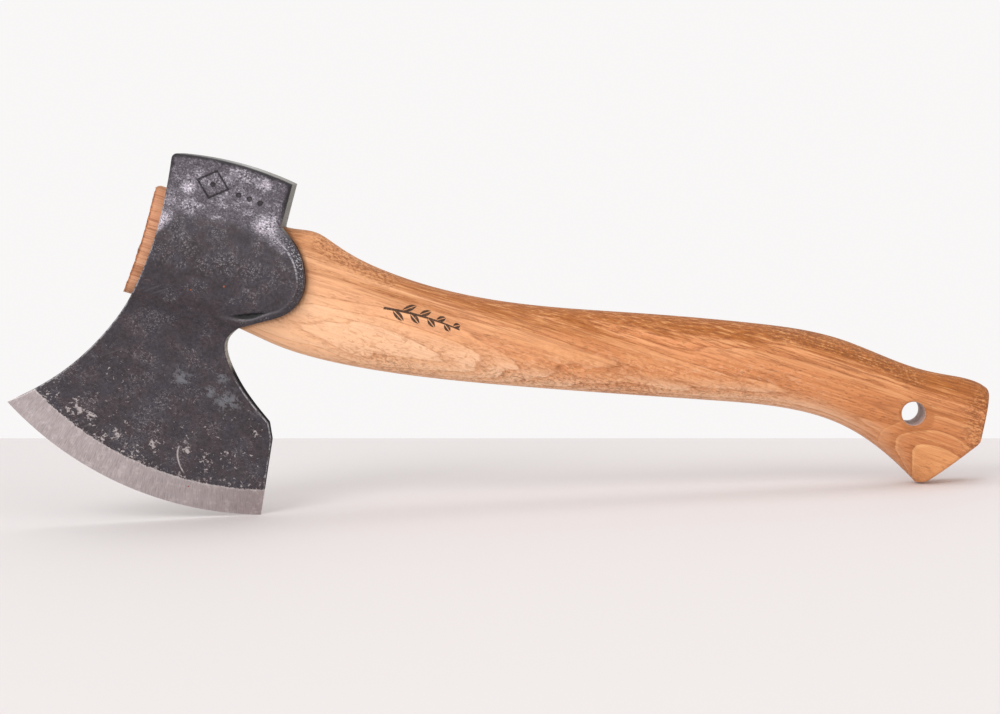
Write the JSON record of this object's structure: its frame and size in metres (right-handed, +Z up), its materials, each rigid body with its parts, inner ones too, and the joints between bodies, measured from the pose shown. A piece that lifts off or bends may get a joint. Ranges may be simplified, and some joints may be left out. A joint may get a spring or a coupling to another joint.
{
  "type": "carving hatchet",
  "caption": "Short one-handed carving hatchet with a broad bearded forged blade, curved hickory handle and a hanging hole in the knob.",
  "frame": {"origin": "bottom centre of the bounding box, on the surface that the heel of the edge and the tip of the knob stand on", "axes": "+X from the head towards the knob, +Z up towards the poll, +Y through the thickness, away from the side shown first"},
  "size_m": [0.4222, 0.0358, 0.1574],
  "materials": {
    "forged_steel": "black forge scale, satin ground edge",
    "hickory": "satin oiled hickory",
    "wedge_wood": "matte sawn wood",
    "wedge_steel": "matte steel"
  },
  "bodies": {
    "root": {"head": "forged_steel", "handle": "hickory", "kerf_wedge": "wedge_wood", "staple_wedge": "wedge_steel"}
  },
  "joints": []
}
